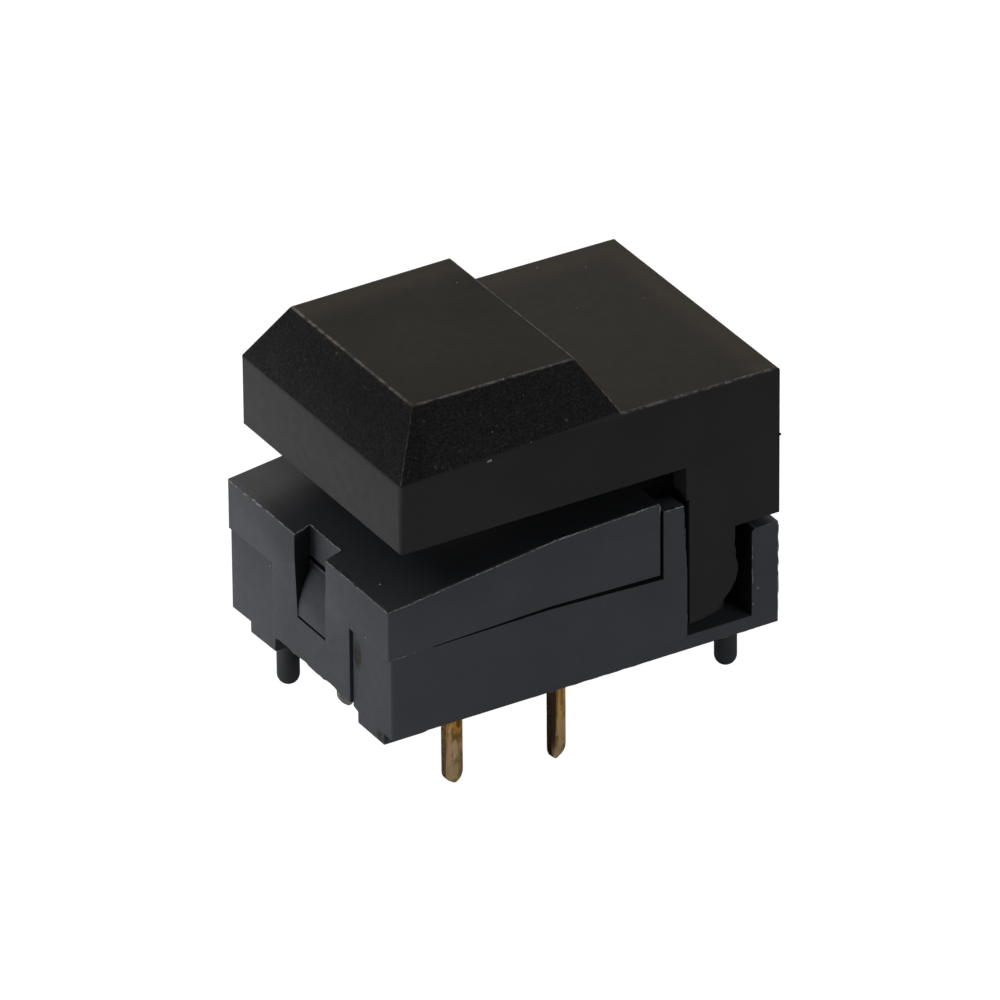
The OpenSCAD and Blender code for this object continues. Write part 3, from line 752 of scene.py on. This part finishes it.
def make_cover():
    o = along_y([(CF, WT)] + cover_line(0) + [(CR, WT + 0.1), (-1.7, WT + 0.24), (-6.95, WT + 0.09)], -CW, CW)
    inner = along_y([(CF + 0.7, 0)] + [(CF + 0.7, CZ0 - 0.8 + 0.7 * (CZ1 - CZ0) / (BX - CF)), (BX, CZ1 - 0.8), (CR - 0.8, CZ2 - 0.8 - 0.8 * (CZ2 - CZ1) / (CR - BX))] + [(CR - 0.8, 0)], -HW + 0.8, HW - 0.8)
    cut(o, inner)
    # flap with a ragged lower edge
    rnd = random.Random(4)
    n = 26
    low = []
    for k in range(n + 1):
        y = FLAP0 + (FLAP1 - FLAP0) * k / n
        low.append((y, 0.84 + rnd.uniform(-0.05, 0.05) - 0.02 * math.sin(k * 0.8)))
    add(o, along_x(low + [(FLAP1, WT + 0.3), (FLAP0, WT + 0.3)], CF, CF + 0.7))
    chb = CHZ - 0.26
    add(o, block((CF + 0.6, -1.8, chb), (-7.8, 1.8, CZ0 - 0.3)))
    add(o, block((DX - 2.6, -2.6, 6.03), (DX + 2.6, 2.6, 6.9)))
    add(o, *mirrored(lambda: block((CR - 0.4, 2.0, 4.55), (4.2, 3.2, 5.05))))
    # window and channel: its walls lean a little
    top = [(CF - 1, -1.53), (CHX, -1.18), (CHX, 1.26), (CF - 1, 0.93)]
    cut(o, along_z(top, chb, 9))
    k = 1.71 / (CHX - CF + 1)
    high = [(CF - 1, -1.53), (CF + 0.71, -1.53 + 0.35 * k), (CF + 0.71, 0.93 + 0.33 * k), (CF - 1, 0.93)]
    low = [(CF - 1, -1.38), (CF + 0.71, -1.17), (CF + 0.71, 1.06), (CF - 1, 0.76)]
    cut(o, solid([(x, y, WINZ) for x, y in low] + [(x, y, chb + 0.01) for x, y in high],
                 [[3, 2, 1, 0], [4, 5, 6, 7], [0, 1, 5, 4], [1, 2, 6, 5], [2, 3, 7, 6], [3, 0, 4, 7]]))
    cut(o, block((DX - 1.95, -1.95, 3), (DX + 1.95, 1.95, 9)))
    clean(o)

    def weigh(m, d, a, b):
        if abs(m.y) > CW - 0.02 or m.x < CF + 0.02:
            if abs(d.z) > 0.9 and abs(m.y) > CW - 0.02 and m.x < CF + 0.02:
                return 1.0
            if abs(d.z) > 0.9 and m.x > CR - 0.02:
                return 0.4
            if m.z > 6.4:
                return 0.5
            return 0.12
        if m.z > 6.3 and m.x > CR - 0.02:
            return 0.6
        if m.z > 6.3 and m.x < -8.3:
            return 0.3
        return 0.0

    round_edges(o, 0.10, 3, weigh, 0.28)
    for p in o.data.polygons:
        c, n = p.center, p.normal
        # rounded edges keep the paler edge colour, partly worn and partly a painted highlight, only along the cover's
        # top edges
        if p.material_index == 1 and c.z < 6.3:
            p.material_index = 0
        # painted shade: the cover's underside over the gap, its rear face and the window's far wall get the darker
        # slate plastic
        if (n.z < -0.7 and 4.2 < c.z < 4.6 and c.x > -6.9) or (n.x > 0.8 and abs(c.x - CR) < 0.02):
            p.material_index = 4
        if n.y < -0.7 and c.x < -8.2 and 0.6 < c.y < 1.5 and c.z > WINZ:
            p.material_index = 4
    shade(o)
    edge = 0.004
    join(o, rag([(CF + edge, CW - 0.1, CZ0 - 0.02), (CF + edge, 1.05, CZ0 - 0.015)], 0.018, 0.044, 0.13, 31, 0.10))
    join(o, rag([(CF + edge, -1.42, CZ0 - 0.015), (CF + edge, -CW + 0.08, CZ0 - 0.02)], 0.016, 0.040, 0.13, 32, 0.12))
    dz = (CZ1 - CZ0) / (BX - CF)
    join(o, rag([(CF + 0.05, -CW + 0.012, CZ0 - 0.015), (BX, -CW + 0.012, CZ1 - 0.02), (CR - 0.1, -CW + 0.012, CZ2 - 0.02)], 0.012, 0.034, 0.14, 33, 0.14))
    join(o, rag([(CF + 0.02, 1.09, CZ0 - 0.02), (CHX, 1.26, CZ0 + dz * (CHX - CF) - 0.01), (CHX, -1.18, CZ0 + dz * (CHX - CF) - 0.01), (CF + 0.02, -1.36, CZ0 - 0.02)], 0.018, 0.042, 0.12, 34, 0.06))
    join(o, rag([(CR - 0.03, -CW + 0.03, CZ2 - 0.03), (CR - 0.03, -CW + 0.03, 7.0)], 0.012, 0.035, 0.12, 35, 0.1))
    join(o, rag([(CF + 0.05, -CW + 0.01, WT + 0.02), (-7.0, -CW + 0.01, WT + 0.10)], 0.006, 0.02, 0.14, 36, 0.2))
    join(o, rag([(CF + 0.02, 2.7, 0.86), (CF + 0.02, FLAP0 + 0.3, 0.86)], 0.006, 0.02, 0.16, 37, 0.4))
    join(o, blob((-8.40, -4.30, 6.585), (0.05, 0.05, 0.03), 11, 3))
    join(o, blob((CF, -4.50, 4.46), (0.03, 0.05, 0.05), 12, 3))
    join(o, blob((CF, 3.10, 3.99), (0.02, 0.035, 0.035), 15, 3))
    join(o, rag([(CF + 0.01, -1.235, WINZ + 0.1), (CF + 0.01, -1.315, 5.1)], 0.005, 0.015, 0.14, 38, 0.25))
    settle(o)
    return piece(o, "cover_moulding", "housing", ["top_cover"], [GREY_FACE, GREY_EDGE_WEAR_AND_HIGHLIGHT, FLASH, DUST, GREY_PAINTED_SHADE])


make_cover()

# ------------------------------------------------------------------ base


def pin_sections(x, y, top, reach, w, t, twist, seed, lean=0.0):
    """Rings of a flat pin from its root down to a rounded point, as (points) lists."""
    rnd = random.Random(seed)
    zs = [top] + [top - (top + reach - 0.62) * k / 14 for k in range(1, 15)]
    taper = [(0.0, 1.0), (0.14, 0.97), (0.26, 0.88), (0.37, 0.73), (0.47, 0.52), (0.55, 0.30), (0.60, 0.16)]
    rings = []
    c = 0.022
    for z in zs[:-1]:
        rings.append((z, 1.0))
    for dz, k in taper:
        rings.append((-(reach - 0.62) - dz, k))
    out = []
    for z, k in rings:
        hw, ht = w / 2 * k, t / 2 * (0.45 + 0.55 * min(1, k * 1.3))
        a = math.radians(twist) * min(1.0, max(0.0, (0.9 - z) / 1.3))
        cc = min(c, hw * 0.4, ht * 0.4)
        loop = [(-hw + cc, -ht), (hw - cc, -ht), (hw, -ht + cc), (hw, ht - cc), (hw - cc, ht), (-hw + cc, ht), (-hw, ht - cc), (-hw, -ht + cc)]
        jx, jy = rnd.uniform(-0.004, 0.004) + lean * (1 - k), rnd.uniform(-0.004, 0.004)
        out.append([(x + jx + u * math.cos(a) - v * math.sin(a), y + jy + u * math.sin(a) + v * math.cos(a), z) for u, v in loop])
    return out


def loft(rings):
    n = len(rings[0])
    pts = [p for r in rings for p in r]
    faces = [list(range(n)), [len(pts) - n + k for k in range(n)][::-1]]
    for i in range(len(rings) - 1):
        for k in range(n):
            faces.append([i * n + k, i * n + (k + 1) % n, (i + 1) * n + (k + 1) % n, (i + 1) * n + k])
    return solid(pts, faces)


def strip_bars(side):
    if side < 0:
        z = WELL - 0.25
        bars = [((PIN1 - 0.4, -PINY - 0.15, z), (PIN2 + 0.4, -3.2, z + 0.25))]
        bars += [((DX + s * 1.85 - 0.4, -3.21, z), (DX + s * 1.85 + 0.4, 0.5, z + 0.25)) for s in (-1, 1)]
        return z + 0.25, bars
    z = 0.8
    return z + 0.25, [((PIN1 + ROW - 0.4, 3.2, z), (PIN2 + ROW + 0.4, PINY + 0.15, z + 0.25)), ((DX - 0.4, 0, z), (DX + 0.4, 3.21, z + 0.25))]


def make_strip(name, side, node, twists, lengths, widths, leans, mats):
    top, bars = strip_bars(side)
    o = block(*bars[0])
    for b in bars[1:]:
        add(o, block(*b))
    shift = ROW if side > 0 else 0.0
    for x, tw, ln, w, sd, lean in zip((PIN1 + shift, PIN2 + shift), twists, lengths, widths, (1, 2), leans):
        add(o, loft(pin_sections(x, side * PINY, top, ln, w, 0.3, tw, sd + 10 * side, lean)))
    if side > 0:
        add(o, round_z(DX, 0, 0.5, 0.8, WELL - 0.05, 32))
    clean(o, 0.05)
    bm = bmesh.new()
    bm.from_mesh(o.data)
    for f in bm.faces:
        n = f.normal
        f.material_index = 1 if abs(n.x) > 0.8 and abs(n.z) < 0.5 else 0
    bm.to_mesh(o.data)
    bm.free()
    shade(o)
    return piece(o, name, "housing", [node], mats)


def make_base():
    o = block((-HL, -HW, FOOT), (HL, HW, FLOOR))

    def side():
        a = along_y([(-HL, FOOT), (-HL, WT), (-7.2, WT + 0.065), (-7.0, WT + 0.03), (-1.7, WT + 0.08), (PX0, WT - WFALL), (PX0 + 0.1, FOOT)], HW - WALL, HW)
        add(a, along_y([(-7.3, FOOT + 0.2), (-7.3, 5.2), (-5.6, 5.2), (-5.2, 3.7), (2.4, 3.7), (2.4, FOOT + 0.2)], 4.7, HW - WALL + 0.02))
        add(a, along_y([(PX0, FOOT), (PX0, POST_TOP), (4.585, POST_TOP), (4.615, 6.05), (NX0, 4.0), (NX0, FOOT)], HW - ND, HW))
        add(a, along_y([(NX1, FOOT), (NX1, REAR_TOP - 0.22), (NX1 + 0.07, REAR_TOP - 0.06), (NX1 + 0.2, REAR_TOP), (HL, REAR_TOP), (HL, FOOT)], HW - ND, HW))
        add(a, along_y([(4.4, FOOT), (4.4, 6.3), (4.7, 6.6), (6.85, 6.6), (7.1, 6.35), (7.1, FOOT)], 4.15, HW - ND))
        return a

    add(o, *mirrored(side))
    add(o, block((-HL, -HW, FOOT), (-HL + 0.9, FLAP0 - 0.05, WT)))
    add(o, block((-HL, FLAP1 + 0.03, FOOT), (-HL + 0.9, HW, WT)))
    add(o, block((-HL + 0.65, FLAP0 - 0.6, FOOT), (-HL + 1.3, FLAP1 + 0.4, WINZ + 2.29)))
    z = WINZ
    nose = [(-HL + 1.3, z + 0.025), (-HL - 0.095, z + 0.025), (-HL - 0.08, z + 0.35), (-HL - 0.04, z + 0.65), (-HL + 0.02, z + 0.87), (-HL + 0.09, z + 1.06), (-HL + 0.16, z + 1.26), (-HL + 0.29, z + 1.58), (-HL + 0.45, z + 1.87), (-HL + 0.56, z + 2.06), (-HL + 0.69, z + 2.21), (-HL + 0.83, z + 2.28), (-HL + 1.0, z + 2.29), (-HL + 1.3, z + 2.29)]
    add(o, along_y(nose, WINY - WINW / 2 + 0.07, WINY + WINW / 2 - 0.07))
    add(o, block((PX0, -HW + 1, FOOT), (4.5, HW - 1, 5.4)))
    add(o, block((8.2, -HW + 1, FOOT), (HL, HW - 1, REAR_TOP)))
    ring = cut(round_z(DX, 0, 3.2, FLOOR - 0.2, FLOOR + 0.45, 64), round_z(DX, 0, 2.72, 0, 4, 64))
    add(o, ring)
    # feet: the front ones run out into a ramp
    for a in (1, -1):
        add(o, along_y([(-HL * a, 0.7), (-HL * a, 0), (-7.3 * a, 0), (-5.25 * a, FOOT), (-5.25 * a, 0.7)][::a], -5.60 * a, -3.53 * a))
        add(o, along_y([(-HL * a, 0.7), (-HL * a, 0), (-8.3 * a, 0), (-8.3 * a, 0.7)][::a], 3.0 * a, 4.88 * a))
    for x, y in ((7.92, -4.0), (-7.92, 4.0)):
        r = 0.475
        prof = [(r + 0.17, 0.7), (r + 0.17, 0.0), (r, 0.0), (r, -2.3 + r)]
        prof += [(r * math.cos(math.radians(a)), -2.3 + r - r * math.sin(math.radians(a))) for a in range(12, 84, 12)] + [(0.0, -2.3)]
        add(o, turned(x, y, prof, 40))
    cut(o, *mirrored(lambda: block((NX0, HW - ND, NZ), (NX1, HW + 1, 9))))
    cut(o, *mirrored(lambda: block((7.1, 4.15, NZ), (NX1, HW, 9))))
    cut(o, block((-HL - 1, FLAP0 - 0.01, -1), (-HL + 0.65, FLAP1 + 0.03, WINZ + 0.055)))
    cut(o, block((-HL - 1, FLAP0 - 0.05, FOOT + 0.7), (-HL + 0.65, FLAP1 + 0.03, WINZ + 0.055)))
    cut(o, round_y(PIVX, PIVZ, 0.80, -10, 10, 40))
    cut(o, *mirrored(lambda: block((PX0 - 1, 1.95, 4.5), (4.25, 3.25, 5.1))))
    cut(o, round_z(DX, 0, 2.15, WELL, WELL + 2, 64))
    for s in (-1, 1):
        top, bars = strip_bars(s)
        for b in bars:
            cut(o, block(b[0], b[1]))
        sh = ROW if s > 0 else 0.0
        for x in (PIN1 + sh, PIN2 + sh):
            cut(o, block((x - 0.42, s * PINY - 0.15, -5), (x + 0.42, s * PINY + 0.15, top)))
    cut(o, round_z(DX, 0, 0.5, 0.8, WELL + 0.1, 32))
    clean(o)

    def weigh(m, d, a, b):
        side_face = abs(m.y) > HW - 0.02
        front = m.x < -HL + 0.02
        rear = m.x > HL - 0.02
        if side_face or front or rear:
            if abs(d.z) > 0.9 and side_face and (front or rear):
                return 1.0
            if m.z < 0.59:
                return 0.5
            if side_face and abs(m.x - PX0) < 0.02:
                return 0.2
            if side_face and 3.9 < m.z < 4.4 and m.x < PX0:
                return 0.12
            if side_face and m.z > 6:
                return 0.45
            if side_face and NX0 - 0.2 < m.x < NX1 + 0.02 and m.z < 7:
                return 0.3
            return 0.45
        if m.z < 0.3 and abs(m.y) < 5.7 and abs(m.x) > 6:
            return 0.6
        if m.z > REAR_TOP - 0.02 and m.x > NX1 - 0.1:
            return 0.3
        if m.z > 7.0:
            return 0.3
        return 0.0

    round_edges(o, 0.10, 3, weigh, 0.16)
    for p in o.data.polygons:
        c, n = p.center, p.normal
        # rounded edges keep the paler edge colour, partly worn and partly a painted highlight, only high up and off
        # upright faces
        if p.material_index == 1 and (c.z < 4.6 or abs(n.z) < 0.1):
            p.material_index = 0
        # painted shade: the base's top in the gap under the cover, the post's front face and the notch's inner walls
        # get the darker slate plastic
        if (n.z > 0.7 and 3.9 < c.z < 4.4 and abs(c.y) > 5.0) or (n.x < -0.8 and abs(c.x - PX0) < 0.1 and abs(c.y) > 5.0):
            p.material_index = 4
        if NX0 - 0.05 < c.x < NX1 + 0.05 and ((abs(abs(c.y) - HW + ND) < 0.02 and abs(n.y) > 0.8) or (n.x < -0.8 and c.x > NX1 - 0.02)):
            p.material_index = 4
    shade(o)
    s = -HW + 0.01
    join(o, rag([(PX0 + 0.03, s, POST_TOP - 0.03), (4.56, s, POST_TOP - 0.02)], 0.018, 0.045, 0.1, 41, 0.08))
    join(o, rag([(PX0 + 0.02, s, POST_TOP - 0.05), (PX0 + 0.02, s, 6.2)], 0.008, 0.024, 0.12, 42, 0.15))
    join(o, rag([(NX1 + 0.03, s, 2.0), (NX1 + 0.02, s, REAR_TOP - 0.22), (NX1 + 0.22, s, REAR_TOP - 0.02), (HL - 0.1, s, REAR_TOP - 0.02)], 0.008, 0.024, 0.13, 43, 0.15))
    join(o, rag([(-7.0, s, WT + 0.0), (-6.2, s, WT + 0.01)], 0.006, 0.018, 0.13, 44, 0.25))
    join(o, rag([(-5.0, s, WT + 0.03), (-1.7, s, WT + 0.055), (PX0 - 0.2, s, WT - WFALL - 0.01)], 0.005, 0.011, 0.16, 45, 0.5))
    join(o, rag([(-6.0, s, FOOT + 0.02), (HL - 0.2, s, FOOT + 0.02)], 0.005, 0.013, 0.2, 46, 0.5))
    join(o, rag([(4.60, s, 6.9), (4.63, s, 6.0), (NX0 - 0.02, s, 4.0), (NX0 - 0.02, s, 1.4)], 0.005, 0.015, 0.16, 47, 0.35))
    join(o, rag([(HL - 0.02, s + 0.01, 0.9), (HL - 0.02, s + 0.01, REAR_TOP - 0.15)], 0.006, 0.018, 0.16, 48, 0.25))
    join(o, blob((7.84, -HW, 1.62), (0.03, 0.02, 0.04), 13, 3))
    join(o, blob((8.05, -HW, 2.30), (0.035, 0.025, 0.075), 14, 3))
    settle(o, base=True)
    return piece(o, "base_moulding", "housing", ["base_housing"], [GREY_FACE, GREY_EDGE_WEAR_AND_HIGHLIGHT, FLASH, DUST, GREY_PAINTED_SHADE])


make_base()
make_strip("near_pin_strip", -1, "rim_contact_strip", (1.0, 17.0), (4.03, 4.40), (0.86, 0.86), (0.12, -0.06), [BRASS, SHEARED])
make_strip("far_pin_strip", 1, "centre_contact_strip", (-2.0, 3.0), (4.03, 4.40), (0.86, 0.86), (0.05, 0.0), [DULL_BRASS, DULL_BRASS])

# ------------------------------------------------------------------ springs and dome


def coil(mean_r, wire, turns, z0, z1, name):
    closed = wire * 1.05
    pitch = (z1 - z0 - wire - 2 * closed) / (turns - 2)
    steps, sides = 40, 12
    n = int(turns * steps)
    rings = []
    for i in range(n + 1):
        t = i / steps
        h = closed * t if t < 1 else closed + pitch * (t - 1) if t < turns - 1 else closed + pitch * (turns - 2) + closed * (t - turns + 1)
        a = 2 * math.pi * t
        ring = []
        for k in range(sides):
            q = 2 * math.pi * k / sides
            r = mean_r + wire / 2 * math.cos(q)
            ring.append((DX + r * math.cos(a), r * math.sin(a), z0 + wire / 2 + h + wire / 2 * math.sin(q)))
        rings.append(ring)
    o = loft(rings)
    for p in o.data.polygons:
        p.use_smooth = len(p.vertices) == 4
    return o


spring = piece(coil(2.38, 0.34, 5.5, FLOOR + 0.01, 5.19, "s"), "return_coil", "housing", ["return_spring"], [STEEL])
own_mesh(spring)
spring2 = piece(coil(0.98, 0.22, 7, 4.41, 7.19, "s"), "pressure_coil", "pusher", ["pressure_spring"], [STEEL])
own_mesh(spring2)


def make_dome():
    r, h, t = 2.0, 0.38, 0.06
    big = (r * r + h * h) / (2 * h)
    half = math.asin(r / big)
    prof = [(big * math.sin(half * k / 12), WELL + h - big + big * math.cos(half * k / 12)) for k in range(0, 13)]
    prof += [((big + t) * math.sin(half * k / 12), WELL + h - big + (big + t) * math.cos(half * k / 12)) for k in range(12, -1, -1)]
    o = turned(DX, 0, prof, 64)
    for p in o.data.polygons:
        p.use_smooth = True
    return o


dome = piece(make_dome(), "click_dome", "housing", ["snap_dome"], [STEEL])
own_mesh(dome)

for node, material, slot_name in (("plunger", IVORY, "natural_plastic"), ("dome_pusher", IVORY, "natural_plastic")):
    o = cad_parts[node]
    o.data.materials.clear()
    o.data.materials.append(material)

# ------------------------------------------------------------------ floor and light
# Seen directly, the floor is plain white with a faint shadow. For the light it sends to
# the part it is a pale card, brighter at the back left and dark under the part itself.


def make_floor():
    bm = bmesh.new()
    n, r = 64, 0.9
    z = -0.00442
    bm.faces.new([bm.verts.new((r * math.cos(2 * math.pi * i / n), r * math.sin(2 * math.pi * i / n), z)) for i in range(n)])
    o = obj_from(bm, "floor")
    m = bpy.data.materials.new("pale_floor")
    m.use_nodes = True
    t = m.node_tree
    t.nodes.clear()

    def node(kind, **k):
        n = t.nodes.new(kind)
        for a, v in k.items():
            setattr(n, a, v)
        return n

    def ramp(v, a, b, c, d):
        n = node("ShaderNodeMapRange", interpolation_type="SMOOTHSTEP")
        t.links.new(v, n.inputs["Value"])
        for k, x in zip(("From Min", "From Max", "To Min", "To Max"), (a, b, c, d)):
            n.inputs[k].default_value = x
        return n.outputs[0]

    out = node("ShaderNodeOutputMaterial")
    geo = node("ShaderNodeNewGeometry")
    along = node("ShaderNodeVectorMath", operation="DOT_PRODUCT")
    t.links.new(geo.outputs["Position"], along.inputs[0])
    along.inputs[1].default_value = (-0.75, 0.66, 0)
    away = node("ShaderNodeVectorMath", operation="LENGTH")
    t.links.new(geo.outputs["Position"], away.inputs[0])
    side = ramp(along.outputs["Value"], -0.02, 0.022, FLOOR_NEAR, FLOOR_FAR)
    open_ = ramp(away.outputs["Value"], 0.006, 0.018, 0.15, 1.0)
    far_off = ramp(away.outputs["Value"], 0.05, 0.11, 1.0, 0.3)
    both_ = node("ShaderNodeMath", operation="MULTIPLY")
    t.links.new(open_, both_.inputs[0])
    t.links.new(far_off, both_.inputs[1])
    strength = node("ShaderNodeMath", operation="MULTIPLY")
    t.links.new(side, strength.inputs[0])
    t.links.new(both_.outputs[0], strength.inputs[1])
    card = node("ShaderNodeEmission")
    t.links.new(strength.outputs[0], card.inputs["Strength"])
    glow = node("ShaderNodeEmission")
    glow.inputs["Strength"].default_value = 0.99
    dif = node("ShaderNodeBsdfDiffuse")
    dif.inputs["Color"].default_value = (0.11, 0.11, 0.11, 1)
    seen = node("ShaderNodeAddShader")
    t.links.new(glow.outputs[0], seen.inputs[0])
    t.links.new(dif.outputs[0], seen.inputs[1])
    lp = node("ShaderNodeLightPath")
    both = node("ShaderNodeMixShader")
    t.links.new(lp.outputs["Is Camera Ray"], both.inputs[0])
    t.links.new(card.outputs[0], both.inputs[1])
    t.links.new(seen.outputs[0], both.inputs[2])
    clear = node("ShaderNodeBsdfTransparent")
    last = node("ShaderNodeMixShader")
    t.links.new(geo.outputs["Backfacing"], last.inputs[0])
    t.links.new(both.outputs[0], last.inputs[1])
    t.links.new(clear.outputs[0], last.inputs[2])
    t.links.new(last.outputs[0], out.inputs["Surface"])
    o.data.materials.append(m)
    if o.data.polygons[0].normal.z < 0:
        o.data.flip_normals()


FLOOR_NEAR, FLOOR_FAR = 0.12, 0.56
make_floor()


def area(name, direction, dist, size, level, colour=(1, 1, 1), glossy=True):
    """level is how bright a white card facing the light would be."""
    d = Vector(direction).normalized()
    data = bpy.data.lights.new(name, "AREA")
    data.shape = "RECTANGLE"
    data.size, data.size_y = size
    data.energy = level * math.pi ** 2 * dist ** 2
    data.color = colour
    o = bpy.data.objects.new(name, data)
    scene.collection.objects.link(o)
    o.location = d * dist + Vector((0, 0, 0.006))
    o.rotation_mode = "QUATERNION"
    o.rotation_quaternion = d.to_track_quat("Z", "Y")
    o.visible_camera = False
    o.visible_glossy = glossy
    return o


area("back_window", (0.30, 0.74, 0.67), 0.36, (0.16, 0.16), 0.90, (1.08, 1.0, 0.88), glossy=False)
area("left_card", (-0.90, 0.42, 0.06), 0.16, (0.10, 0.03), 0.54, glossy=False)
area("right_card", (0.38, -0.91, 0.16), 0.30, (0.16, 0.05), 0.42, glossy=False)

world = bpy.data.worlds.new("world")
scene.world = world
world.use_nodes = True
t = world.node_tree
t.nodes.clear()
out = t.nodes.new("ShaderNodeOutputWorld")
mixer = t.nodes.new("ShaderNodeMixShader")
tc = t.nodes.new("ShaderNodeTexCoord")
toward = t.nodes.new("ShaderNodeVectorMath")
toward.operation = "DOT_PRODUCT"
t.links.new(tc.outputs["Generated"], toward.inputs[0])
toward.inputs[1].default_value = (0.443, 0.744, 0.5)
lobe = t.nodes.new("ShaderNodeMapRange")
lobe.interpolation_type = "SMOOTHSTEP"
t.links.new(toward.outputs["Value"], lobe.inputs["Value"])
for k, v in zip(("From Min", "From Max", "To Min", "To Max"), (0.45, 0.95, 0.0, 1.0)):
    lobe.inputs[k].default_value = v
split = t.nodes.new("ShaderNodeSeparateXYZ")
t.links.new(tc.outputs["Generated"], split.inputs[0])
above = t.nodes.new("ShaderNodeMapRange")
above.interpolation_type = "SMOOTHSTEP"
t.links.new(split.outputs[2], above.inputs["Value"])
for k, v in zip(("From Min", "From Max", "To Min", "To Max"), (0.15, 0.40, 0.0, 1.0)):
    above.inputs[k].default_value = v
high = t.nodes.new("ShaderNodeMath")
high.operation = "MULTIPLY"
t.links.new(lobe.outputs[0], high.inputs[0])
t.links.new(above.outputs[0], high.inputs[1])
tone = t.nodes.new("ShaderNodeMix")
tone.data_type = "RGBA"
t.links.new(high.outputs[0], tone.inputs["Factor"])
[x for x in tone.inputs if x.name == "A" and x.type == "RGBA"][0].default_value = (0.050, 0.052, 0.055, 1)
[x for x in tone.inputs if x.name == "B" and x.type == "RGBA"][0].default_value = (0.235, 0.20, 0.16, 1)
dim = t.nodes.new("ShaderNodeBackground")
t.links.new([x for x in tone.outputs if x.type == "RGBA"][0], dim.inputs["Color"])
white = t.nodes.new("ShaderNodeBackground")
white.inputs["Strength"].default_value = 1.0
lp = t.nodes.new("ShaderNodeLightPath")
t.links.new(lp.outputs["Is Camera Ray"], mixer.inputs[0])
t.links.new(dim.outputs[0], mixer.inputs[1])
t.links.new(white.outputs[0], mixer.inputs[2])
t.links.new(mixer.outputs[0], out.inputs["Surface"])

bpy.context.view_layer.update()
